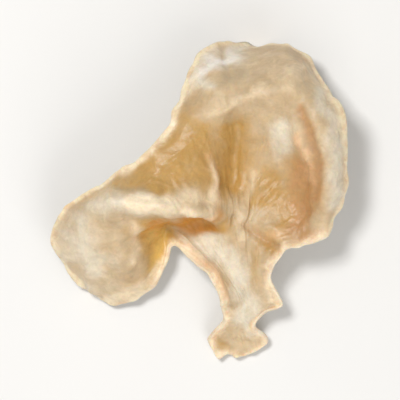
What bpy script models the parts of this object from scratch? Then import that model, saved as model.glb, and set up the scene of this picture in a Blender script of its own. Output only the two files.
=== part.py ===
"""A single dried ear of snow fungus: one leathery sheet that grows from a pinched foot,
cups into a rimmed bowl, and throws one wing out past the foot on its left side.

Metres, +Z up. The ear lies as it dried, on its underside. The origin is on the surface that
it rests on, under the middle of its box; +Y runs from the foot to the crown.
"""

import math

import bpy
import numpy as np

MM = 0.001

# How thick the dried sheet is, in millimetres, at shares of the way from the foot's tip to
# the free margin
THICKNESS = ((0.0, 1.2), (0.12, 1.9), (0.4, 0.9), (0.8, 0.9), (1.0, 0.8))

# The slight roll of the free margin: its height, how steeply it dies out towards the bowl, and
# its waves, each with how many there are across the sheet and the share of a turn it starts at
ROLL_HEIGHT = 0.2 * MM
ROLL_FALL = 4
ROLL_WAVES = ((5, 0.55), (8, 0.48))

# How far the ear's lowest points are pressed flat by lying on them
PRESSED_FLAT = 0.25 * MM

# Faces across and along the sheet
STEPS_ACROSS = 60
STEPS_ALONG = 33

# The dried flesh: its colour, and how dull it is
FLESH_COLOUR = (0.62, 0.47, 0.28, 1.0)
FLESH_ROUGHNESS = 0.55

# The stem that the sheet is gathered into, foot first: its left edge, its right edge, how far
# along the ear it is, its height, and how deep its gutter is, all in millimetres
STEM = {
    "tip": (2.8, 6.4, -22.8, 0.6, 0.1),
    "foot": (1.2, 10.0, -20.2, 1.0, 0.3),
    "shank": (3.2, 8.6, -17.6, 2.4, 1.0),
    "spur": (3.0, 12.0, -15.0, 3.8, 1.2),
    "neck": (0.9, 10.4, -11.4, 5.2, 1.6),
}

# The ribs of the sheet past its stem, from the right-hand edge round over the crown to the
# left-hand edge. Each runs throat, lip, bowl, wall, crest, margin, as (across, along, height)
# in millimetres
RIBS = {
    "right_edge": [
        (12.4, -7.4, 7.8), (14.0, -7.0, 8.4), (15.6, -6.6, 8.8),
        (17.0, -5.8, 8.8), (18.2, -4.8, 8.6), (19.0, -3.6, 8.2),
    ],
    "right_lobe": [
        (10.0, -6.2, 6.4), (11.2, -3.8, 6.6), (13.2, -2.4, 6.8),
        (15.4, -1.2, 8.2), (17.8, 0.2, 11.8), (20.6, 1.4, 9.6),
    ],
    "right_rim": [
        (8.2, -5.3, 6.0), (9.0, -1.8, 6.0), (10.8, 1.2, 6.0),
        (14.0, 3.6, 7.8), (17.4, 6.0, 13.2), (20.8, 7.6, 10.4),
    ],
    "right_shoulder": [
        (7.0, -4.8, 6.0), (7.4, -1.0, 5.8), (8.6, 3.0, 5.6),
        (11.6, 7.4, 8.2), (15.4, 12.2, 14.2), (18.9, 14.6, 10.0),
    ],
    "crown_right": [
        (6.0, -4.4, 6.4), (6.2, -0.6, 6.4), (7.0, 4.2, 5.8),
        (8.8, 9.8, 9.0), (11.4, 16.0, 13.4), (14.2, 21.2, 3.4),
    ],
    "crown": [
        (4.8, -4.0, 6.4), (4.6, -0.8, 7.0), (5.0, 4.2, 6.0),
        (5.5, 9.8, 9.2), (6.0, 16.0, 12.6), (6.6, 22.7, 0.2),
    ],
    "crown_left": [
        (3.6, -4.2, 6.2), (2.8, -1.6, 8.8), (2.9, 3.0, 7.8),
        (2.2, 8.4, 10.2), (1.4, 14.6, 12.4), (0.0, 20.4, 5.0),
    ],
    "left_shoulder": [
        (1.6, -3.4, 5.6), (0.4, -2.2, 11.4), (0.0, 1.0, 11.4),
        (-1.0, 5.0, 11.2), (-2.4, 8.6, 11.6), (-3.8, 11.0, 9.8),
    ],
    "left_lip": [
        (-0.8, -3.2, 5.2), (-2.4, -2.0, 11.8), (-4.3, 0.5, 12.9),
        (-6.4, 2.2, 12.8), (-8.8, 3.5, 12.0), (-11.2, 4.7, 10.4),
    ],
    "wing_fold": [
        (-2.4, -3.5, 4.8), (-5.0, -1.9, 12.1), (-8.4, -0.8, 13.4),
        (-12.0, -0.7, 12.6), (-15.6, -0.8, 10.0), (-19.2, -1.7, 6.4),
    ],
    "under_fold": [
        (-3.0, -4.4, 4.4), (-5.8, -3.0, 6.4), (-8.4, -3.4, 10.0),
        (-12.0, -4.0, 10.6), (-16.2, -4.2, 9.2), (-21.0, -5.0, 5.0),
    ],
    "wing": [
        (-3.1, -5.7, 4.4), (-5.3, -5.7, 3.6), (-8.0, -6.7, 5.8),
        (-11.4, -8.0, 8.2), (-15.4, -8.8, 7.6), (-19.8, -9.2, 3.2),
    ],
    "left_edge": [
        (-3.0, -7.0, 4.8), (-4.3, -8.2, 4.2), (-5.4, -10.6, 3.6),
        (-7.6, -13.2, 2.8), (-11.2, -14.7, 1.4), (-15.2, -13.5, 0.2),
    ],
}


def stem_stations(share):
    """The rib's points down the stem, at its share of the stem's width from the right."""
    side = 1 - 2 * share
    return [
        (right + (left - right) * share, along, height + gutter * side**2)
        for left, right, along, height, gutter in STEM.values()
    ]


def rib_net():
    """Every rib's points in metres, foot first."""
    last = len(RIBS) - 1
    net = [stem_stations(k / last) + rib for k, rib in enumerate(RIBS.values())]
    return np.array(net) * MM


def spline_weights(knots, samples):
    """How much each of the evenly spaced knots counts at each sample of a smooth curve."""
    second = np.zeros((knots, knots))
    bend = np.zeros((knots, knots))
    second[0, 0] = second[-1, -1] = 1
    for k in range(1, knots - 1):
        second[k, k - 1:k + 2] = 1, 4, 1
        bend[k, k - 1:k + 2] = 6, -12, 6
    curvature = np.linalg.solve(second, bend)
    place = np.linspace(0, knots - 1, samples)
    low = np.minimum(place.astype(int), knots - 2)
    after = (place - low)[:, None]
    before = 1 - after
    each = np.eye(knots)
    return (
        before * each[low] + after * each[low + 1]
        + ((before**3 - before) * curvature[low] + (after**3 - after) * curvature[low + 1]) / 6
    )


def middle_surface():
    """Points down the middle of the sheet's thickness, by step across and step along."""
    net = rib_net()
    across = spline_weights(net.shape[0], STEPS_ACROSS + 1)
    along = spline_weights(net.shape[1], STEPS_ALONG + 1)
    return np.einsum("ua,abc,vb->uvc", across, net, along)


def normals_of(points):
    """Unit normals of a grid of points, on its upper side."""
    over = np.gradient(points, axis=0)
    up = np.gradient(points, axis=1)
    normal = np.cross(up, over)
    return normal / np.linalg.norm(normal, axis=2)[:, :, None]


def rolled(points, normals):
    """The points with the free margin's slight roll, which dies out towards the bowl."""
    over = np.linspace(0, 1, STEPS_ACROSS + 1)[:, None]
    reach = np.linspace(0, 1, STEPS_ALONG + 1)[None, :] ** ROLL_FALL
    waves = sum(np.sin(2 * math.pi * (count * over + start)) for count, start in ROLL_WAVES)
    return points + normals * (ROLL_HEIGHT * waves * reach)[:, :, None]


def thickness():
    """How thick the sheet is, by step along."""
    shares, sizes = zip(*THICKNESS)
    return np.interp(np.linspace(0, 1, STEPS_ALONG + 1), shares, sizes) * MM


def set_down(points):
    """The points over the origin, with the lowest of them pressed flat on the surface below."""
    low = points.min(axis=0)
    high = points.max(axis=0)
    middle = (low + high) / 2
    points = points - (middle[0], middle[1], low[2] + PRESSED_FLAT)
    points[:, 2] = np.maximum(points[:, 2], 0)
    return points


def ear_mesh():
    """The closed sheet: an upper skin, an underside, and a free edge joining them."""
    middle = middle_surface()
    middle = rolled(middle, normals_of(middle))
    normals = normals_of(middle)
    half = (thickness() / 2)[None, :, None]
    upper = middle + normals * half
    under = middle - normals * half
    rows, columns = STEPS_ACROSS + 1, STEPS_ALONG + 1
    points = set_down(np.concatenate([upper.reshape(-1, 3), under.reshape(-1, 3)]))

    def at(i, j, side):
        return side * rows * columns + i * columns + j

    faces = []
    for i in range(STEPS_ACROSS):
        for j in range(STEPS_ALONG):
            faces.append((at(i, j, 0), at(i, j + 1, 0), at(i + 1, j + 1, 0), at(i + 1, j, 0)))
            faces.append((at(i, j, 1), at(i + 1, j, 1), at(i + 1, j + 1, 1), at(i, j + 1, 1)))
    rim = [(i, 0) for i in range(STEPS_ACROSS)]
    rim += [(STEPS_ACROSS, j) for j in range(STEPS_ALONG)]
    rim += [(i, STEPS_ALONG) for i in range(STEPS_ACROSS, 0, -1)]
    rim += [(0, j) for j in range(STEPS_ALONG, 0, -1)]
    for here, there in zip(rim, rim[1:] + rim[:1]):
        faces.append((at(*here, 0), at(*there, 0), at(*there, 1), at(*here, 1)))
    mesh = bpy.data.meshes.new("fungus")
    mesh.from_pydata(points.tolist(), [], faces)
    mesh.shade_smooth()
    return mesh


def flesh():
    """The dried flesh, cream with a golden cast."""
    material = bpy.data.materials.new("dried_flesh")
    material.use_nodes = True
    shader = material.node_tree.nodes["Principled BSDF"]
    shader.inputs["Base Color"].default_value = FLESH_COLOUR
    shader.inputs["Roughness"].default_value = FLESH_ROUGHNESS
    shader.inputs["Metallic"].default_value = 0.0
    return material


def main():
    for old in list(bpy.data.objects):
        bpy.data.objects.remove(old)
    ear = bpy.data.objects.new("fungus", ear_mesh())
    ear.data.materials.append(flesh())
    bpy.context.scene.collection.objects.link(ear)


main()
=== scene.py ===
import math

import bpy
import numpy as np
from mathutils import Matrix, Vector


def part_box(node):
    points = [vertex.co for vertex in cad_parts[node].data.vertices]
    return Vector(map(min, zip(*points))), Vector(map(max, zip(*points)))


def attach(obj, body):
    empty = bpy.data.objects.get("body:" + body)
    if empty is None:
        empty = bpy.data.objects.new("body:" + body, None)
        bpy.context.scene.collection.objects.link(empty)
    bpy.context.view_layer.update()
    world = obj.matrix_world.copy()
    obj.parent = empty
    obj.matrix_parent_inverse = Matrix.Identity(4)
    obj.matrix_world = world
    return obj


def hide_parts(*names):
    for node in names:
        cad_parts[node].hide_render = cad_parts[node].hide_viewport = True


# One dried ear of snow fungus, lying on a pale table. Its sizes are in millimetres and are
# turned to metres when its mesh is made

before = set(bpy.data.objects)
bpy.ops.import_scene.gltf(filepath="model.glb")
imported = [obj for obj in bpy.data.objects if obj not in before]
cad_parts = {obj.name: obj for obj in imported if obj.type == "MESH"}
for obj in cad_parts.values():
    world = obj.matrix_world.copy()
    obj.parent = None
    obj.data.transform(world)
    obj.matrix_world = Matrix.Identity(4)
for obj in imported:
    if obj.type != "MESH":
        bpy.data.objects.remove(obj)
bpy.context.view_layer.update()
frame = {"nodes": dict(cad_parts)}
millimetre = 0.001
print("frame loaded:", ", ".join(frame["nodes"]))


def splineWeights(knots, places):
    # how much each knot counts at each place of a natural cubic spline, from 0 to 1
    second = np.zeros((knots, knots))
    bend = np.zeros((knots, knots))
    second[0, 0] = second[-1, -1] = 1
    for k in range(1, knots - 1):
        second[k, k - 1:k + 2] = 1, 4, 1
        bend[k, k - 1:k + 2] = 6, -12, 6
    curvature = np.linalg.solve(second, bend)
    place = places * (knots - 1)
    low = np.minimum(place.astype(int), knots - 2)
    after = (place - low)[:, None]
    before = 1 - after
    each = np.eye(knots)
    straight = before * each[low] + after * each[low + 1]
    bowed = (before**3 - before) * curvature[low] + (after**3 - after) * curvature[low + 1]
    return straight + bowed / 6


def normalsOf(points):
    over = np.gradient(points, axis=0)
    up = np.gradient(points, axis=1)
    normal = np.cross(up, over)
    return normal / np.linalg.norm(normal, axis=2)[:, :, None]


def calmed(normals, passes, ownWeight=2):
    # the normals, each turned towards the mean of those around it
    for step in range(passes):
        ring = np.pad(normals, ((1, 1), (1, 1), (0, 0)), mode="edge")
        around = ring[:-2, 1:-1] + ring[2:, 1:-1] + ring[1:-1, :-2] + ring[1:-1, 2:]
        normals = around + ownWeight * normals
        normals = normals / np.linalg.norm(normals, axis=2)[:, :, None]
    return normals


def stepLengths(points, axis):
    return np.linalg.norm(np.diff(points, axis=axis), axis=2)


def crowded(steps, crowding):
    # shares from 0 to 1 that stand closer together at both ends
    share = np.linspace(0, 1, steps + 1)
    return share - crowding * np.sin(2 * math.pi * share) / (2 * math.pi)


def evened(lengths, places):
    # the shares at which a course with these step lengths is at these places along it
    travelled = np.concatenate([[0], np.cumsum(lengths)])
    shares = np.linspace(0, 1, len(travelled))
    return np.interp(places, travelled / travelled[-1], shares)


def ripple(points, size, seed, waves=26, spread=(0.6, 1.35)):
    # a smooth uneven field of about -2 to 2, whose bumps are about one size apart
    rng = np.random.default_rng(seed)
    course = rng.normal(size=(waves, 3))
    course /= np.linalg.norm(course, axis=1)[:, None]
    course *= 2 * math.pi / size * rng.uniform(*spread, size=(waves, 1))
    start = rng.uniform(0, 2 * math.pi, waves)
    field = np.zeros(points.shape[:-1])
    for k in range(waves):
        field += np.sin(points @ course[k] + start[k])
    return field * math.sqrt(2 / waves)


def wandering(points, size, seed):
    # three such fields, to move the points by
    return np.stack([ripple(points, size, seed + k) for k in range(3)], axis=-1)


def bell(values, middle, width):
    return np.exp(-((values - middle) / width)**2)


def awayFrom(points, course):
    # how far each point is from a course, which is seen from above if it has no heights
    points = points[..., :len(course[0])]
    least = np.full(points.shape[:-1], np.inf)
    for start, end in zip(course, course[1:]):
        start, run = np.array(start), np.array(end) - np.array(start)
        share = np.clip((points - start) @ run / (run @ run), 0, 1)
        away = np.linalg.norm(points - start - share[..., None] * run, axis=-1)
        least = np.minimum(least, away)
    return least


def closedFaces(rows, columns):
    # the upper side, the underside and the free edge that joins them
    index = np.arange(rows * columns).reshape(rows, columns)
    a, b, c, d = index[:-1, :-1], index[:-1, 1:], index[1:, 1:], index[1:, :-1]
    upper = np.stack([a, b, c, d], axis=-1).reshape(-1, 4)
    under = np.stack([a, d, c, b], axis=-1).reshape(-1, 4) + rows * columns
    rim = np.array([*index[:-1, 0], *index[-1, :-1], *index[:0:-1, -1], *index[0, :0:-1]])
    ahead = np.roll(rim, -1)
    around = np.stack([rim, ahead, ahead + rows * columns, rim + rows * columns], axis=-1)
    return np.concatenate([upper, under, around])


def keep(mesh, name, upperValues, underValues):
    layer = mesh.attributes.new(name, "FLOAT", "POINT")
    layer.data.foreach_set("value", np.concatenate([upperValues.ravel(), underValues.ravel()]))


def placed(name, mesh, *materials):
    piece = bpy.data.objects.new(name, mesh)
    for material in materials:
        mesh.materials.append(material)
    bpy.context.scene.collection.objects.link(piece)
    return piece


class Wire:
    # a socket; one that carries numbers takes + - and * with numbers and other wires
    def __init__(self, tree, socket):
        self.tree = tree
        self.socket = socket

    def also(self, name):
        # another output of the same node
        return Wire(self.tree, self.socket.node.outputs[name])

    def joined(self, operation, first, second):
        node = self.tree.nodes.new("ShaderNodeMath")
        node.operation = operation
        for slot, value in zip(node.inputs, (first, second)):
            if isinstance(value, Wire):
                self.tree.links.new(value.socket, slot)
            else:
                slot.default_value = value
        return Wire(self.tree, node.outputs[0])

    def __add__(self, other):
        return self.joined("ADD", self, other)

    def __sub__(self, other):
        return self.joined("SUBTRACT", self, other)

    def __rsub__(self, other):
        return self.joined("SUBTRACT", other, self)

    def __mul__(self, other):
        return self.joined("MULTIPLY", self, other)

    __radd__ = __add__
    __rmul__ = __mul__


class Tree:
    # a node tree, and the one way in which its nodes are added
    def __init__(self, tree):
        self.tree = tree

    def add(self, kind, settings=None, inputs=None, output=0):
        node = self.tree.nodes.new(kind)
        for name, value in (settings or {}).items():
            setattr(node, name, value)
        for name, value in (inputs or {}).items():
            self.feed(node.inputs[name], value)
        return Wire(self.tree, node.outputs[output]) if node.outputs else None

    def feed(self, slot, value):
        if isinstance(value, Wire):
            self.tree.links.new(value.socket, slot)
        elif slot.type == "RGBA":
            slot.default_value = (*value, 1.0)
        else:
            slot.default_value = value


class Finish(Tree):
    # a material whose patterns are fixed to the piece
    def __init__(self, name):
        self.material = bpy.data.materials.new(name)
        self.material.use_nodes = True
        super().__init__(self.material.node_tree)
        self.shader = self.tree.nodes["Principled BSDF"].inputs
        self.place = self.add("ShaderNodeTexCoord", output="Object")

    def shade(self, inputs):
        for name, value in inputs.items():
            self.feed(self.shader[name], value)

    def mixed(self, factor, first, second, blend="MIX"):
        # colours
        settings = {"data_type": "RGBA", "blend_type": blend, "clamp_factor": True}
        inputs = {"Factor": factor, "A": first, "B": second}
        return self.add("ShaderNodeMix", settings, inputs, "Result")

    def attribute(self, name):
        return self.add("ShaderNodeAttribute", {"attribute_name": name}, output="Fac")

    def noise(self, size, detail=4.0, roughness=0.55, distortion=0.0):
        # an uneven field of 0 to 1 whose patches are about one size across, in millimetres
        inputs = {"Vector": self.place, "Scale": 1 / (size * millimetre), "Detail": detail,
                  "Roughness": roughness, "Distortion": distortion}
        return self.add("ShaderNodeTexNoise", {}, inputs, "Fac")

    def ranged(self, value, low, high, toLow=0.0, toHigh=1.0):
        settings = {"interpolation_type": "SMOOTHSTEP", "clamp": True}
        inputs = {"Value": value, "From Min": low, "From Max": high,
                  "To Min": toLow, "To Max": toHigh}
        return self.add("ShaderNodeMapRange", settings, inputs)


fungus = {
    "stem": {  # foot first: left edge, right edge, how far along, height, depth of the gutter
        "tip": (2.8, 6.4, -22.8, 0.6, 0.1),
        "foot": (1.2, 10.0, -20.2, 1.0, 0.3),
        "shank": (3.2, 8.6, -17.6, 2.4, 1.0),
        "spur": (3.0, 12.0, -15.0, 3.8, 1.2),
        "neck": (0.9, 10.4, -11.4, 5.2, 1.6),
    },
    # the ribs that fan out from the stem: throat, lip, bowl, wall, crest and margin, each as
    # across, along, height
    "ribs": {
        "rightEdge": [
            (12.4, -7.4, 7.8), (14.0, -7.0, 8.4), (15.6, -6.6, 8.8),
            (17.0, -5.8, 8.8), (18.2, -4.8, 8.6), (19.0, -3.6, 8.2),
        ],
        "rightLobe": [
            (10.0, -6.2, 6.4), (11.2, -3.8, 6.6), (13.2, -2.4, 6.8),
            (15.4, -1.2, 8.2), (17.8, 0.2, 11.8), (20.6, 1.4, 9.6),
        ],
        "rightRim": [
            (8.2, -5.3, 6.0), (9.0, -1.8, 6.0), (10.8, 1.2, 6.0),
            (14.0, 3.6, 7.8), (17.4, 6.0, 13.2), (20.8, 7.6, 10.4),
        ],
        "rightShoulder": [
            (7.0, -4.8, 6.0), (7.4, -1.0, 5.8), (8.6, 3.0, 5.6),
            (11.6, 7.4, 8.2), (15.4, 12.2, 14.2), (18.9, 14.6, 10.0),
        ],
        "crownRight": [
            (6.0, -4.4, 6.4), (6.2, -0.6, 6.4), (7.0, 4.2, 5.8),
            (8.8, 9.8, 9.0), (11.4, 16.0, 13.4), (14.2, 21.2, 3.4),
        ],
        "crown": [
            (4.8, -4.0, 6.4), (4.6, -0.8, 7.0), (5.0, 4.2, 6.0),
            (5.5, 9.8, 9.2), (6.0, 16.0, 12.6), (6.6, 22.7, 0.2),
        ],
        "crownLeft": [
            (3.6, -4.2, 6.2), (2.8, -1.6, 8.8), (2.9, 3.0, 7.8),
            (2.2, 8.4, 10.2), (1.4, 14.6, 12.4), (0.0, 20.4, 5.0),
        ],
        "leftShoulder": [
            (1.6, -3.4, 5.6), (0.4, -2.2, 11.4), (0.0, 1.0, 11.4),
            (-1.0, 5.0, 11.2), (-2.4, 8.6, 11.6), (-3.8, 11.0, 9.8),
        ],
        "leftLip": [
            (-0.8, -3.2, 5.2), (-2.4, -2.0, 11.8), (-4.3, 0.5, 12.9),
            (-6.4, 2.2, 12.8), (-8.8, 3.5, 12.0), (-11.2, 4.7, 10.4),
        ],
        "wingFold": [
            (-2.4, -3.5, 4.8), (-5.0, -1.9, 12.1), (-8.4, -0.8, 13.4),
            (-12.0, -0.7, 12.6), (-15.6, -0.8, 10.0), (-19.2, -1.7, 6.4),
        ],
        "underFold": [
            (-3.0, -4.4, 4.4), (-5.8, -3.0, 6.4), (-8.4, -3.4, 10.0),
            (-12.0, -4.0, 10.6), (-16.2, -4.2, 9.2), (-21.0, -5.0, 5.0),
        ],
        "wing": [
            (-3.1, -5.7, 4.4), (-5.3, -5.7, 3.6), (-8.0, -6.7, 5.8),
            (-11.4, -8.0, 8.2), (-15.4, -8.8, 7.6), (-19.8, -9.2, 3.2),
        ],
        "leftEdge": [
            (-3.0, -7.0, 4.8), (-4.3, -8.2, 4.2), (-5.4, -10.6, 3.6),
            (-7.6, -13.2, 2.8), (-11.2, -14.7, 1.4), (-15.2, -13.5, 0.2),
        ],
    },

    "stepsAcross": 330,
    "stepsAlong": 140,
    "crowding": 0.4,  # how much closer the steps stand at the free edges
    "trialSteps": 600,  # steps that the sheet's lengths are measured over
    "outerFrom": 0.65,  # where the outer part starts, whose width the steps across share out

    "thicknessAt": (0.0, 0.12, 0.4, 0.8, 1.0),  # shares of the way from foot to margin
    "thickness": (1.1, 1.6, 0.9, 0.75, 0.5),  # of the flesh there
    "solidThickness": (1.2, 1.9, 0.9, 0.9, 0.8),  # and of the solid that this piece stands for
    "unevenness": (4.0, 0.12),  # of the thickness: its size, and the share that it adds
    "calming": 12,  # how often the directions of the thickness are evened out
    "edgeThinning": (1.6, 0.45),  # how far in the free edge is thinned, and the share it loses
    "edgeRounding": 0.94,  # 1 would round the free edge off to nothing
    "rolledEdge": (0.9, 0.28),  # the narrow roll on the free edge: its width and height
    "waveHeight": 0.2,  # the free edge's slow waves
    "waveFall": 4,  # how steeply they die out towards the bowl
    "waves": ((5, 0.55), (8, 0.48)),  # how many across, share of a turn at the start
    "pressedFlat": 0.25,  # how far its lowest points are pressed in by lying on them
    "raggedDepth": 1.6,  # how far in from the free edge its raggedness goes

    # patterns that move the points about, as size and reach
    "ragged": (3.4, 0.15),  # the free edge
    "raggedFoot": (2.0, 0.14),
    "swirl": (6.0, 0.6),  # all the relief but the puckers

    # patterns of relief, as size and depth
    "swell": (8.5, 0.196),
    "crumple": (11.9, 0.28),
    "wrinkle": (2.8, 0.1),
    "crinkle": (1.5, 0.04),
    "grain": (0.9, 0.016),
    "underGrain": (0.72, 0.026),
    "puckers": (1.9, 0.14),  # at the foot
    "veins": (5.0, 0.16),
    "veinCourse": (46.0, 9.0),  # how close they are across and along the sheet
    "veinPlace": (0.66, 0.2),  # share of the way along where they are deepest, and their reach
    "veinBend": 0.12,  # how far they are bent by the shape of the ear
    "crumpleBluntness": 0.7,  # how wide the tops of the folds are
    "ridgeBluntness": 0.5,  # and of the wrinkles, crinkles and veins
    "ridgeGround": 0.4,  # how far the ground sinks between those
    "footReach": 0.14,  # share of the way along that the foot's own relief takes
    "smoothEdge": 2.2,  # how far in from the free edge the fine relief is whole
    "wrinklesAtEdge": 0.3,  # the share of the wrinkles that goes on over the free edge

    # folds that the dried sheet has in set places: their course seen from above, how high they
    # stand (down where negative), and how wide they are
    "folds": {
        "bowlCrease": ([(4.9, 10.8), (5.3, 7.6), (4.9, 4.0), (4.6, 1.6)], -0.55, 1.5),
        "lobeRidge": ([(1.1, 6.0), (1.8, 3.2), (2.0, -0.2)], 0.26, 0.6),
        "bowlKnoll": ([(11.6, 9.4), (12.2, 7.8)], 0.4, 1.5),
        "rimCrest": ([(13.6, 11.4), (14.9, 8.4), (15.9, 5.4), (15.9, 3.2)], 0.35, 0.6),
        "rimGroove": ([(14.4, 12.8), (15.8, 9.4), (17.1, 6.2), (17.2, 3.6), (16.5, 0.4)],
                      -0.4, 0.6),
        "bowlStreak": ([(7.8, 3.8), (6.4, 0.0), (5.6, -3.2)], 0.2, 0.8),
        "lobeCrease": ([(4.8, -2.4), (8.0, -4.8), (11.2, -6.6)], -0.55, 0.6),
        "gutter": ([(6.8, -5.6), (7.2, -11.2), (6.4, -16.0), (5.6, -20.0)], -0.35, 0.8),
        "stemRidge": ([(-2.4, -5.8), (1.6, -10.4), (4.6, -15.2)], 0.25, 0.6),
        "wingStreak": ([(-17.2, -4.0), (-14.0, -7.6)], 0.25, 0.5),
        "wingRidge": ([(-9.2, -3.2), (-9.4, -6.0), (-9.6, -9.0)], 0.18, 0.5),
        "lip": ([(-12.0, -0.2), (-8.0, -0.9), (-4.0, -1.2), (-1.6, -1.6), (0.8, -1.4)],
                0.35, 0.6),
        "crownNotch": ([(3.2, 22.4), (4.2, 17.6)], -0.3, 0.6),
        "crownRidge": ([(-0.6, 11.8), (2.4, 12.4), (5.6, 14.0), (8.8, 15.6)], 0.26, 0.5),
    },

    "seeds": {"swirl": 3, "swell": 11, "crumple": 12, "wrinkle": 21, "crinkle": 23, "veins": 31,
              "puckers": 41, "unevenness": 51, "grain": 61, "underGrain": 62, "strayed": 71,
              "ragged": 81, "raggedFoot": 84},

    # the flesh's ground, then its tones in the order that they lie on it: its own colours,
    # painted shade, painted glow and painted highlights; with how much comes through to the
    # underside, and how far each leans into the valleys, or onto the ridges where negative:
    # painted crease shade and painted ridge highlight
    "cream": (0.68, 0.52, 0.32),
    "khaki": (0.58, 0.42, 0.24),
    "felt": (0.76, 0.68, 0.55),
    "tones": {
        # painted shade, in creases, under the lip and on the shadow sides of ridges
        "shade": {"colour": (0.44, 0.33, 0.20), "through": 0.3, "valleyShading": 0.1},
        # own gold of the inner skin, also painted shade in the notch, the crease, the wing's root
        # and the hollow
        "gold": {"colour": (0.55, 0.32, 0.09), "through": 0.5, "valleyShading": 0.1},
        # painted glow of light through the sheet, over gold, lightening the wing's shaded hollow
        "honeyGlow": {"colour": (0.76, 0.49, 0.13), "through": 0.3, "valleyShading": 0.1},
        # painted warm shade, with the glow of light through the sheet, for the hollow under the
        # lip
        "amberHollowShade": {"colour": (0.64, 0.27, 0.03), "through": 0.3, "valleyShading": 0.1},
        # own reddish brown of the skin; along the rim's dark line and the lobe's crease it is
        # painted shade
        "rust": {"colour": (0.57, 0.32, 0.14), "through": 0.3, "valleyShading": 0.1},
        # own pale parts of the skin; on the lip's crest and the bowl's knoll it is painted
        # highlight, on the rim band partly
        "pale": {"colour": (0.82, 0.73, 0.57), "through": 0.5, "valleyShading": -0.1},
        # painted peach highlights on lit ridges, rims and folds
        "peachHighlight": {"colour": (0.93, 0.61, 0.35), "through": 0.5, "valleyShading": -0.1},
        # painted highlights on the lit free edge, crests and folds
        "edge": {"colour": (0.97, 0.80, 0.56), "through": 0.5, "valleyShading": -0.1},
        # a whiter patch, partly painted highlight on the crown
        "white": {"colour": (0.97, 0.87, 0.78), "through": 0.5, "valleyShading": -0.1},
    },

    # where the flesh is stained or lighter, and where shade, glow and highlights are painted on
    # it: the tone, its course, seen from above where it has no heights, how wide it is and how
    # strong
    "stainsShadeAndHighlights": {
        "leftLobe": ("gold", [(-6.6, 3.0), (-3.4, 5.4), (0.2, 8.6), (0.4, 3.6)], 3.0, 0.95),
        "leftEdge": ("gold", [(-11.0, 2.0), (-4.0, 8.6), (-1.2, 13.4)], 1.6, 0.55),
        # painted highlight along the lit left margin
        "leftRimHighlight": ("edge", [(-0.4, 17.8), (-1.6, 15.2), (-3.3, 11.4), (-7.2, 6.6),
                             (-11.0, 4.0)], 0.9, 0.6),
        "lobeGold": ("gold", [(-3.0, 3.0), (-0.4, 2.8)], 1.3, 0.7),
        "bowl": ("gold", [(7.6, 8.0), (7.6, 1.0)], 3.2, 0.6),
        "bowlLow": ("gold", [(9.6, 1.8), (12.6, -2.0)], 2.4, 0.85),
        "rightLobe": ("gold", [(14.4, 5.0), (14.8, 0.0), (13.2, -3.4)], 2.4, 0.6),
        "rightRust": ("rust", [(14.8, 4.6), (15.4, 0.0), (14.8, -4.2)], 2.0, 0.9),
        "lobeHem": ("rust", [(15.0, -5.8), (17.2, -4.6)], 0.7, 0.6),
        "lobeFoot": ("gold", [(15.0, -4.6), (11.0, -4.6)], 1.6, 0.3),
        # the notch: its gold, with painted crease shade where the lobe meets the stem
        "notch": ("gold", [(10.0, -6.2), (11.2, -7.4)], 0.9, 0.8),
        "notchShade": ("shade", [(10.4, -6.6), (11.2, -7.4)], 0.7, 0.6),
        # the wing's root: its own gold, deepened as painted shade where the wing folds under
        "wingRoot": ("gold", [(-6.6, -4.2), (-6.2, -8.6), (-6.8, -10.4)], 2.8, 1.0),
        # painted glow in the wing's shaded hollow
        "wingHollow": ("honeyGlow", [(-7.4, -4.2), (-5.2, -5.2), (-6.4, -9.0)], 1.7, 0.8),
        "stemGold": ("gold", [(9.6, -5.0), (7.8, -9.0), (7.4, -11.6)], 1.2, 0.5),
        "stemCorner": ("gold", [(-3.6, -5.8), (0.2, -6.4)], 1.1, 0.5),
        # the hollow under the lip: painted warm shade and glow
        "hollow": ("amberHollowShade", [(-7.0, -3.2, 8.4), (-3.2, -3.4, 7.6), (0.4, -3.2, 7.4)], 2.7, 1.0),
        "hollowFloor": ("amberHollowShade", [(-4.4, -3.5, 5.8), (-1.2, -3.6, 5.0), (1.6, -3.6, 5.4)],
                        1.2, 0.9),
        # gold at both ends of the hollow, partly painted shade of the hollow
        "hollowTail": ("gold", [(1.6, -3.6, 5.4), (3.8, -3.4, 6.8)], 1.2, 1.0),
        "hollowEnd": ("gold", [(-7.6, -4.0, 8.0), (-5.0, -5.4, 5.0)], 2.6, 1.0),
        # the bowl's crease: its gold, with painted crease shade over it
        "creaseGold": ("gold", [(4.6, 10.2), (4.8, 7.0), (4.2, 2.6)], 2.2, 1.0),
        "creaseShade": ("shade", [(4.4, 9.4), (4.8, 7.2), (4.2, 4.0)], 1.5, 0.6),
        # the rim's ridge: painted shade and a dark line on its shadow side, a painted highlight
        # on its lit side
        "rimShade": ("shade", [(14.4, 12.4), (15.7, 9.4), (17.0, 6.2), (16.8, 3.2)], 0.6, 0.85),
        "rimShadowLine": ("rust", [(14.4, 12.8), (15.7, 9.4), (17.0, 6.2), (16.4, 0.4)], 0.8, 0.7),
        "rimRidgeHighlight": ("peachHighlight", [(14.4, 9.4), (15.4, 6.6), (15.9, 3.2)], 0.8, 0.6),
        # painted crease shade where the lobe meets the stem, with a painted highlight on the fold
        # below
        "lobeCrease": ("rust", [(6.0, -3.6), (11.4, -6.6)], 0.8, 0.5),
        "lobeFoldHighlight": ("peachHighlight", [(9.2, -5.0), (12.4, -5.0)], 0.9, 0.4),
        # painted highlight along the bowl's streak
        "bowlStreak": ("edge", [(7.8, 3.8), (6.4, 0.0), (5.8, -3.2), (6.4, -5.4)], 0.9, 0.5),
        "crownLeft": ("pale", [(0.4, 17.4), (1.6, 19.6), (5.4, 21.0)], 1.8, 1.0),
        # a whiter patch on the crown, partly painted highlight
        "crownWhite": ("white", [(0.6, 18.0), (1.8, 19.8), (4.4, 20.2)], 1.4, 0.9),
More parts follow.
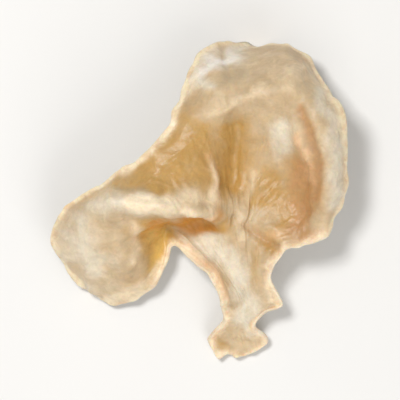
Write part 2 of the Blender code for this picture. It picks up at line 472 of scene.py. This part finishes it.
        # painted highlight along the crown's fold, with painted shade just above it
        "crownFoldHighlight": ("edge", [(1.6, 12.2), (5.6, 14.0), (9.2, 15.8)], 0.9, 0.45),
        "crownShade": ("shade", [(2.2, 16.2), (5.6, 18.0)], 0.9, 0.4),
        # painted highlight on the crown's right slope, which turns from the light
        "crownRight": ("edge", [(9.2, 19.4), (12.8, 17.0)], 2.2, 0.3),
        # painted highlight on the bowl's wall where it faces the light
        "knollHighlight": ("pale", [(11.6, 10.4), (12.4, 7.6)], 1.7, 1.0),
        # painted highlights along the lobe's ridge
        "lobeRidge": ("peachHighlight", [(1.1, 6.0), (1.8, 3.2), (2.0, -0.2)], 0.9, 0.5),
        "lobeRidgeHighlight": ("edge", [(1.4, 4.8), (1.9, 2.4), (2.0, 0.2)], 0.9, 0.65),
        # the rim band's own pale, strengthened as painted highlight where it slopes from the
        # light
        "rimBand": ("pale", [(17.0, 15.0), (19.2, 8.0), (19.4, 0.0)], 1.3, 0.8),
        # painted highlight on the rim's shoulder
        "rimShoulderHighlight": ("edge", [(15.6, 18.4), (18.8, 14.2), (20.2, 8.6)], 1.1, 0.5),
        # the lip: painted highlights along its crest, its front face and its top, and painted
        # shade just above it
        "lip": ("pale", [(-15.2, -1.0), (-12.0, -0.4), (-7.2, -0.4), (-4.0, -0.8)], 1.1, 0.7),
        "lipFrontHighlight": ("peachHighlight", [(-4.4, -2.2, 12.2), (-1.2, -2.5, 11.0), (1.6, -2.4, 10.0)],
                     0.8, 0.7),
        "lipCrestHighlight": ("edge", [(-9.6, -0.4, 13.2), (-7.2, -0.7, 13.4), (-4.0, -1.0, 13.1),
                             (-1.2, -1.9, 12.3), (1.2, -1.5, 10.9)], 0.9, 0.8),
        "lipTopHighlight": ("edge", [(-4.4, 0.6), (-1.6, 0.4), (0.8, 0.3)], 1.2, 0.65),
        "lipShade": ("shade", [(-11.2, 1.3), (-7.2, 1.2), (-5.2, 1.4)], 0.8, 0.7),
        "wingShade": ("shade", [(-18.8, -3.2), (-16.4, -1.0)], 1.6, 0.4),
        "wing": ("pale", [(-17.0, -5.0), (-15.8, -8.0), (-14.6, -9.6)], 3.0, 0.8),
        # painted highlights on the wing's fold and on its lit bottom edge
        "wingLineHighlight": ("edge", [(-9.4, -3.4), (-9.3, -5.8), (-9.8, -9.0)], 1.0, 0.5),
        "wingEdgeHighlight": ("edge", [(-12.8, -13.8), (-8.8, -12.4), (-5.6, -9.0)], 1.0, 0.6),
        "stem": ("pale", [(-0.4, -7.0), (4.0, -8.0), (6.0, -12.0), (7.0, -17.0)], 2.0, 0.9),
        "stemTop": ("pale", [(-1.6, -6.2), (3.2, -5.4)], 1.0, 0.6),
        # painted highlight along the stem's lit left rim
        "stemRimHighlight": ("peachHighlight", [(-2.0, -7.0), (0.8, -10.0), (3.2, -13.8)], 0.9, 0.65),
        # painted highlight along the spur's lit edge
        "spurEdgeHighlight": ("edge", [(10.2, -9.4), (9.8, -12.0), (10.6, -14.4)], 0.9, 0.6),
        "footEdge": ("gold", [(1.6, -19.6), (3.2, -21.6)], 1.4, 0.6),
    },
    "strayed": (4.0, 0.2),  # how the tones' outlines stray: size, and share of a mark's width
    "valleyDepth": 0.6,  # relief this far below the mean counts as a full valley
    "edgeHighlightWidth": 1.5,  # how far in from the free edge its painted highlight reaches
    "feltFrom": 0.3,  # how far in from the free edge the underside's felt starts
    "bareEdge": 0.5,  # how much of the felt is gone at the very edge

    # the finish's uneven fields: size, detail, roughness, distortion
    "patches": (6.0, 3.0),  # of cream and khaki
    "mottle": (1.6, 5.0, 0.6, 0.6),
    "freckles": (0.45, 4.0, 0.6),
    "pores": (0.18, 3.0),
    # where each mask starts and is full, then its least and its greatest value
    "patchRange": (0.35, 0.68),
    "toneRange": (0.05, 1.0, 0.0, 0.95),
    # these two are for the painted highlight along the free edge
    "edgeHighlightRange": (0.2, 1.0, 0.0, 0.95),
    "edgeHighlightToneRange": (0.3, 0.6, 0.3),
    "speckleRange": (0.3, 0.7, 0.82, 1.0),
    "toneBreak": 0.4,  # how far the mottle breaks up the tones' outlines
    "edgeHighlightBreak": 0.5,
    "feltStain": 0.45,  # how much of the gold shows on the felt
    "speckleShares": (0.6, 0.4),  # of mottle and freckles
    "bumpShares": (0.6, 0.4, 0.8),  # of freckles, pores and mottle
    "bumpDepth": 0.09,
    "bumpStrength": 0.8,
    "roughness": 0.45,
    "roughnessSpread": 0.2,
    "goldPolish": 0.1,  # how much smoother the gold parts are
    "feltRoughness": 0.85,
    "coat": 0.12,  # the clear coat that the gold parts have
    "coatElsewhere": 0.2,  # and the share of it on the rest
    "coatRoughness": 0.35,
    "glow": 0.3,  # how much light passes under the skin
    "glowTone": (1.0, 0.5, 0.2),
    "glowReach": 1.2,
    "refraction": 1.45,
}


def plainSheet(over, up):
    # the middle of the sheet's flesh, at shares over and up
    last = len(fungus["ribs"]) - 1
    net = []
    for k, rib in enumerate(fungus["ribs"].values()):
        side = 1 - 2 * k / last
        stations = []
        for left, right, along, height, gutter in fungus["stem"].values():
            across = right + (left - right) * k / last
            stations.append((across, along, height + gutter * side**2))
        net.append(stations + rib)
    net = np.array(net)
    points = np.einsum("ua,abc,vb->uvc", splineWeights(len(net), over), net,
                       splineWeights(net.shape[1], up))
    waves = sum(np.sin(2 * math.pi * (count * over + start)) for count, start in fungus["waves"])
    roll = fungus["waveHeight"] * waves[:, None] * (up**fungus["waveFall"])[None, :]
    return points + normalsOf(points) * roll[:, :, None]


def meshPlaces():
    # where the mesh's lines stand, so that its faces are much the same size
    trial = np.linspace(0, 1, fungus["trialSteps"] + 1)
    rough = plainSheet(trial, trial)
    around = stepLengths(rough[:, trial > fungus["outerFrom"]], 0).max(axis=1)
    outward = stepLengths(rough, 1).mean(axis=0)
    over = evened(around, crowded(fungus["stepsAcross"], fungus["crowding"]))
    up = evened(outward, crowded(fungus["stepsAlong"], fungus["crowding"]))
    return over, up


def edgeDistance(points):
    # how far each point is from the sheet's free edge, along its own two directions
    fromRight = np.pad(np.cumsum(stepLengths(points, 0), axis=0), ((1, 0), (0, 0)))
    fromFoot = np.pad(np.cumsum(stepLengths(points, 1), axis=1), ((0, 0), (1, 0)))
    across = np.minimum(fromRight, fromRight[-1:] - fromRight)
    along = np.minimum(fromFoot, fromFoot[:, -1:] - fromFoot)
    return np.minimum(across, along)


def swept(name, points):
    # how one of the named patterns moves the points about
    size, reach = fungus[name]
    return reach * wandering(points, size, fungus["seeds"][name])


def rippled(name, points):
    # one of the named patterns of relief, as soft bumps
    size, depth = fungus[name]
    return depth * ripple(points, size, fungus["seeds"][name])


def ridged(name, points, bluntness, ground=0.0):
    # one of the named patterns of relief, as narrow ridges where its field passes zero
    size, depth = fungus[name]
    field = ripple(points, size, fungus["seeds"][name])
    return depth * (np.exp(-(field / bluntness)**2) - ground)


def raggedShift(plain, edge, up):
    # how the free edge strays from the plain sheet, more brokenly at the foot
    atFoot = bell(up, 0, fungus["footReach"])[None, :, None]
    atEdge = bell(edge, 0, fungus["raggedDepth"])[:, :, None]
    return atEdge * (swept("ragged", plain) * (1 - atFoot) + swept("raggedFoot", plain) * atFoot)


def fineRelief(plain, swirled, inner, edge, over, up):
    # wrinkles, veins, puckers and the set folds, which show on both sides
    manner = fungus["ridgeBluntness"], fungus["ridgeGround"]
    atEdge = fungus["wrinklesAtEdge"]
    overGrid, upGrid = np.meshgrid(over, up, indexing="ij")
    across, along = fungus["veinCourse"]
    course = np.stack([overGrid * across, upGrid * along, 0 * upGrid], axis=-1)
    fine = (atEdge + (1 - atEdge) * inner) * ridged("wrinkle", swirled, *manner)
    fine += inner * ridged("crinkle", swirled, *manner)
    fine += bell(upGrid, *fungus["veinPlace"]) * ridged(
        "veins", course + fungus["veinBend"] * swirled, *manner)
    fine += bell(upGrid, 0, fungus["footReach"]) * rippled("puckers", plain)
    width, height = fungus["rolledEdge"]
    fine += height * bell(edge, 0, width)
    for course, height, width in fungus["folds"].values():
        fine += height * bell(awayFrom(plain, course), 0, width)
    return fine


def halfThickness(plain, edge, up):
    half = np.interp(up, fungus["thicknessAt"], fungus["thickness"])[None, :] / 2
    half = half * (1 + rippled("unevenness", plain))
    reach, lost = fungus["edgeThinning"]
    half = half * (1 - lost * bell(edge, 0, reach))
    return half * np.sqrt(1 - fungus["edgeRounding"] * np.clip(1 - edge / half, 0, 1)**2)


def setDown(points, plain, up):
    # as the solid is: over the origin, with its lowest points pressed flat on the table
    half = np.interp(up, fungus["thicknessAt"], fungus["solidThickness"])[None, :, None] / 2
    thick = normalsOf(plain) * half
    solid = np.concatenate([plain + thick, plain - thick])
    low, high = solid.min(axis=(0, 1)), solid.max(axis=(0, 1))
    middle = (low + high) / 2
    points = points - (middle[0], middle[1], low[2] + fungus["pressedFlat"])
    points[:, 2] = np.maximum(points[:, 2], 0)
    return points


def keepMarks(mesh, plain, edge, lift):
    # what the finish follows
    strayed = swept("strayed", plain)
    marks = {tone: np.zeros_like(edge) for tone in fungus["tones"]}
    for tone, course, width, strength in fungus["stainsShadeAndHighlights"].values():
        soft = bell(awayFrom(plain + width * strayed, course), 0, width)
        marks[tone] = 1 - (1 - marks[tone]) * (1 - strength * soft)
    for tone, look in fungus["tones"].items():
        keep(mesh, tone, marks[tone], look["through"] * marks[tone])
    # how deep in a valley each point lies, on which the tones paint crease shade and ridge
    # highlight
    valley = np.clip((np.mean(lift) - lift) / fungus["valleyDepth"], -1, 1)
    keep(mesh, "valley", valley, -valley)
    # the painted highlight along the free edge
    rim = bell(edge, 0, fungus["edgeHighlightWidth"])
    keep(mesh, "rim", rim, rim)
    bare = fungus["bareEdge"] * bell(edge, 0, fungus["feltFrom"])
    keep(mesh, "under", bare, 1 - bare)


def fungusMesh():
    over, up = meshPlaces()
    plain = plainSheet(over, up)
    edge = edgeDistance(plain)
    inner = 1 - bell(edge, 0, fungus["smoothEdge"])
    swirled = plain + swept("swirl", plain)
    broad = rippled("swell", swirled) + ridged("crumple", swirled, fungus["crumpleBluntness"])
    fine = fineRelief(plain, swirled, inner, edge, over, up)
    bent = plain + normalsOf(plain) * broad[:, :, None]
    middle = bent + raggedShift(plain, edge, up)
    normals = calmed(normalsOf(bent), fungus["calming"])
    half = halfThickness(plain, edge, up)
    above = fine + half + inner * rippled("grain", swirled)
    below = fine - half - inner * rippled("underGrain", swirled)
    upper = middle + normals * above[:, :, None]
    under = middle + normals * below[:, :, None]
    points = setDown(np.concatenate([upper.reshape(-1, 3), under.reshape(-1, 3)]), plain, up)
    mesh = bpy.data.meshes.new("driedEar")
    mesh.from_pydata((points * millimetre).tolist(), [], closedFaces(len(over), len(up)).tolist())
    mesh.shade_smooth()
    keepMarks(mesh, plain, edge, broad + fine)
    return mesh


def fleshFinish():
    finish = Finish("driedFlesh")
    patches, mottle, freckles, pores = (
        finish.noise(*fungus[name]) for name in ("patches", "mottle", "freckles", "pores"))
    valley, rim, under = (finish.attribute(name) for name in ("valley", "rim", "under"))
    mottleSway, freckleSway = mottle - 0.5, freckles - 0.5  # from -0.5 to 0.5

    ground = finish.ranged(patches, *fungus["patchRange"])
    colour = finish.mixed(ground, fungus["cream"], fungus["khaki"])
    masks = {}
    for tone, look in fungus["tones"].items():
        # each tone leaning into the valleys or onto the ridges, as painted crease shade and
        # painted ridge highlight
        maskWithValleyShading = finish.attribute(tone) + look["valleyShading"] * valley
        masks[tone] = finish.ranged(maskWithValleyShading + fungus["toneBreak"] * mottleSway,
                                    *fungus["toneRange"])
        colour = finish.mixed(masks[tone], colour, look["colour"])
    # the painted highlight along the free edge, peach in places
    edgeHighlightTone = finish.mixed(finish.ranged(mottle, *fungus["edgeHighlightToneRange"]),
                           fungus["tones"]["peachHighlight"]["colour"], fungus["tones"]["edge"]["colour"])
    edgeHighlight = finish.ranged(rim + fungus["edgeHighlightBreak"] * mottleSway, *fungus["edgeHighlightRange"])
    colour = finish.mixed(edgeHighlight, colour, edgeHighlightTone)
    felt = finish.mixed(masks["gold"] * fungus["feltStain"], fungus["felt"], fungus["khaki"])
    colour = finish.mixed(under, colour, felt)
    mottleShare, freckleShare = fungus["speckleShares"]
    speckle = finish.ranged(mottle * mottleShare + freckles * freckleShare,
                            *fungus["speckleRange"])
    grey = finish.add("ShaderNodeCombineColor", {},
                      {"Red": speckle, "Green": speckle, "Blue": speckle})

    gloss = (fungus["roughness"] + fungus["roughnessSpread"] * freckleSway
             - fungus["goldPolish"] * masks["gold"])
    dulling = under * (fungus["feltRoughness"] - fungus["roughness"])
    elsewhere = fungus["coatElsewhere"]
    coated = (masks["gold"] * (1 - elsewhere) + elsewhere) * (1 - under)
    freckleShare, poreShare, mottleShare = fungus["bumpShares"]
    height = freckles * freckleShare + pores * poreShare + mottle * mottleShare
    bump = finish.add("ShaderNodeBump", {}, {
        "Strength": fungus["bumpStrength"], "Distance": fungus["bumpDepth"] * millimetre,
        "Height": height}, "Normal")
    finish.shade({
        "Base Color": finish.mixed(1.0, colour, grey, "MULTIPLY"),
        "Roughness": gloss + dulling, "Coat Weight": coated * fungus["coat"],
        "Coat Roughness": fungus["coatRoughness"], "Normal": bump, "IOR": fungus["refraction"],
        "Subsurface Weight": fungus["glow"], "Subsurface Radius": fungus["glowTone"],
        "Subsurface Scale": fungus["glowReach"] * millimetre})
    return finish.material


ear = placed("driedEar", fungusMesh(), fleshFinish())
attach(ear, "root")
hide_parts("fungus")
print("ear made:", len(ear.data.polygons), "faces")


# The fine down on the underside: short hairs, each leaning its own way

down = {
    "growth": {  # the inputs of its node tree, in metres
        "hairsPerSquareMetre": 26e6,
        "hairLength": 0.00026,
        "hairRadius": 0.000028,
        "hairSides": 3,
        "shortest": 0.5,  # as a share of the length above
        "longest": 1.15,
        "furthestLean": 0.7,  # in radians
        "lowestRoot": 0.0006,  # no hair grows lower than this above the table
        "feltedFrom": 0.97,  # the share of felt that the flesh has where it grows
        "seed": 7,
    },
    "tones": ((0.82, 0.76, 0.65), (0.76, 0.68, 0.55)),
    "patches": 4.0,
    "patchRange": (0.4, 0.65),
    "roughness": 0.85,
}


class Growth(Tree):
    # a geometry node tree with named inputs
    def __init__(self, name, values):
        super().__init__(bpy.data.node_groups.new(name, "GeometryNodeTree"))
        face = self.tree.interface
        face.new_socket("surface", in_out="INPUT", socket_type="NodeSocketGeometry")
        for label, value in values.items():
            kind = "NodeSocketInt" if isinstance(value, int) else "NodeSocketFloat"
            face.new_socket(label, in_out="INPUT", socket_type=kind)
        face.new_socket("grown", in_out="OUTPUT", socket_type="NodeSocketGeometry")
        self.surface = self.add("NodeGroupInput", output="surface")

    def given(self, label):
        return self.surface.also(label)

    def vector(self, x, y, z):
        return self.add("ShaderNodeCombineXYZ", {}, {"X": x, "Y": y, "Z": z})

    def above(self, value, least):
        settings = {"data_type": "FLOAT", "operation": "GREATER_THAN"}
        return self.add("FunctionNodeCompare", settings, {"A": value, "B": least})


def downTree(material):
    tree = Growth("down", down["growth"])
    seed, lean = tree.given("seed"), tree.given("furthestLean")
    height = tree.add("ShaderNodeSeparateXYZ", {},
                      {"Vector": tree.add("GeometryNodeInputPosition")}, "Z")
    felt = tree.add("GeometryNodeInputNamedAttribute", {"data_type": "FLOAT"}, {"Name": "under"})
    chosen = tree.add("FunctionNodeBooleanMath", {"operation": "AND"}, {
        0: tree.above(height, tree.given("lowestRoot")),
        1: tree.above(felt, tree.given("feltedFrom"))})
    roots = tree.add("GeometryNodeDistributePointsOnFaces", {"distribute_method": "RANDOM"}, {
        "Mesh": tree.surface, "Selection": chosen, "Density": tree.given("hairsPerSquareMetre"),
        "Seed": seed})
    hair = tree.add("GeometryNodeMeshCone", {"fill_type": "NGON"}, {
        "Vertices": tree.given("hairSides"), "Radius Top": 0.0,
        "Radius Bottom": tree.given("hairRadius"), "Depth": tree.given("hairLength")})
    sunk = tree.add("GeometryNodeTransform", {}, {
        "Geometry": hair, "Translation": tree.vector(0.0, 0.0, 0 - tree.given("hairRadius"))})
    back = 0 - lean
    tilt = tree.add("FunctionNodeRandomValue", {"data_type": "FLOAT_VECTOR"}, {
        "Min": tree.vector(back, back, 0.0), "Max": tree.vector(lean, lean, math.pi),
        "Seed": seed}, "Value")
    turned = tree.add("FunctionNodeRotateRotation", {"rotation_space": "LOCAL"}, {
        "Rotation": roots.also("Rotation"), "Rotate By": tilt})
    size = tree.add("FunctionNodeRandomValue", {"data_type": "FLOAT"}, {
        "Min": tree.given("shortest"), "Max": tree.given("longest"), "Seed": seed}, "Value")
    hairs = tree.add("GeometryNodeInstanceOnPoints", {}, {
        "Points": roots, "Instance": sunk, "Rotation": turned, "Scale": size})
    realized = tree.add("GeometryNodeRealizeInstances", {}, {"Geometry": hairs})
    finished = tree.add("GeometryNodeSetMaterial", {}, {
        "Geometry": realized, "Material": material})
    tree.add("NodeGroupOutput", {}, {"grown": finished})
    return tree.tree


def downFinish():
    finish = Finish("down")
    tone = finish.ranged(finish.noise(down["patches"]), *down["patchRange"])
    finish.shade({"Base Color": finish.mixed(tone, *down["tones"]),
                  "Roughness": down["roughness"]})
    return finish.material


def grownOn(surface, name, tree, values):
    # a plain mesh of what the tree grows on another piece
    piece = placed(name, surface.data.copy())
    modifier = piece.modifiers.new(name, "NODES")
    modifier.node_group = tree
    for item in tree.interface.items_tree:
        if item.name in values:
            modifier[item.identifier] = values[item.name]
    seen = piece.evaluated_get(bpy.context.evaluated_depsgraph_get())
    mesh = bpy.data.meshes.new_from_object(seen)
    piece.modifiers.remove(modifier)
    piece.data = mesh
    return piece


nap = grownOn(ear, "nap", downTree(downFinish()), down["growth"])
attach(nap, "root")
print("nap grown:", len(nap.data.polygons), "faces")


table = {
    "reach": 0.6,
    "tones": ((0.80, 0.79, 0.77), (0.84, 0.83, 0.81)),
    "patches": (60.0, 3.0),
    "roughness": 0.7,
}


def tableMesh():
    reach = table["reach"]
    mesh = bpy.data.meshes.new("table")
    corners = [(-reach, -reach, 0), (reach, -reach, 0), (reach, reach, 0), (-reach, reach, 0)]
    mesh.from_pydata(corners, [], [(0, 1, 2, 3)])
    return mesh


def tableFinish():
    finish = Finish("paleTable")
    tone = finish.mixed(finish.noise(*table["patches"]), *table["tones"])
    finish.shade({"Base Color": tone, "Roughness": table["roughness"]})
    return finish.material


placed("table", tableMesh(), tableFinish())
print("table laid")


studio = {
    "key": {"place": (-0.11, 0.11, 0.36), "size": 0.09, "power": 0.95},
    "fill": {"place": (0.12, -0.30, 0.22), "size": 0.3, "power": 0.65},
    "skyTone": (1.0, 0.985, 0.96),
    "skyStrength": 0.4,
    "cameraHeight": 0.45,
    "cameraSees": (0.01, 10.0),  # nearest and farthest
    "framed": 0.8,  # share of the picture that the ear fills
}


def studioLight(name, aim):
    light = bpy.data.lights.new(name, "AREA")
    light.size = studio[name]["size"]
    light.energy = studio[name]["power"]
    lamp = bpy.data.objects.new(name, light)
    lamp.location = studio[name]["place"]
    lamp.rotation_euler = (aim - lamp.location).to_track_quat("-Z", "Y").to_euler()
    bpy.context.scene.collection.objects.link(lamp)


def studioCamera(low, high):
    # straight above the ear, as the photograph sees it
    camera = bpy.data.cameras.new("camera")
    view = bpy.data.objects.new("camera", camera)
    view.location = (low + high) / 2 + Vector((0, 0, studio["cameraHeight"]))
    wide = max(high.x - low.x, high.y - low.y) / studio["framed"]
    camera.lens = camera.sensor_width * studio["cameraHeight"] / wide
    camera.clip_start, camera.clip_end = studio["cameraSees"]
    bpy.context.scene.collection.objects.link(view)
    bpy.context.scene.camera = view


def studioSky():
    world = bpy.data.worlds.new("studio")
    world.use_nodes = True
    sky = world.node_tree.nodes["Background"]
    sky.inputs["Color"].default_value = (*studio["skyTone"], 1.0)
    sky.inputs["Strength"].default_value = studio["skyStrength"]
    bpy.context.scene.world = world


low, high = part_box("fungus")
studioLight("key", (low + high) / 2)
studioLight("fill", (low + high) / 2)
studioCamera(low, high)
studioSky()
bpy.context.scene.view_settings.view_transform = "Standard"
print("light and camera set")
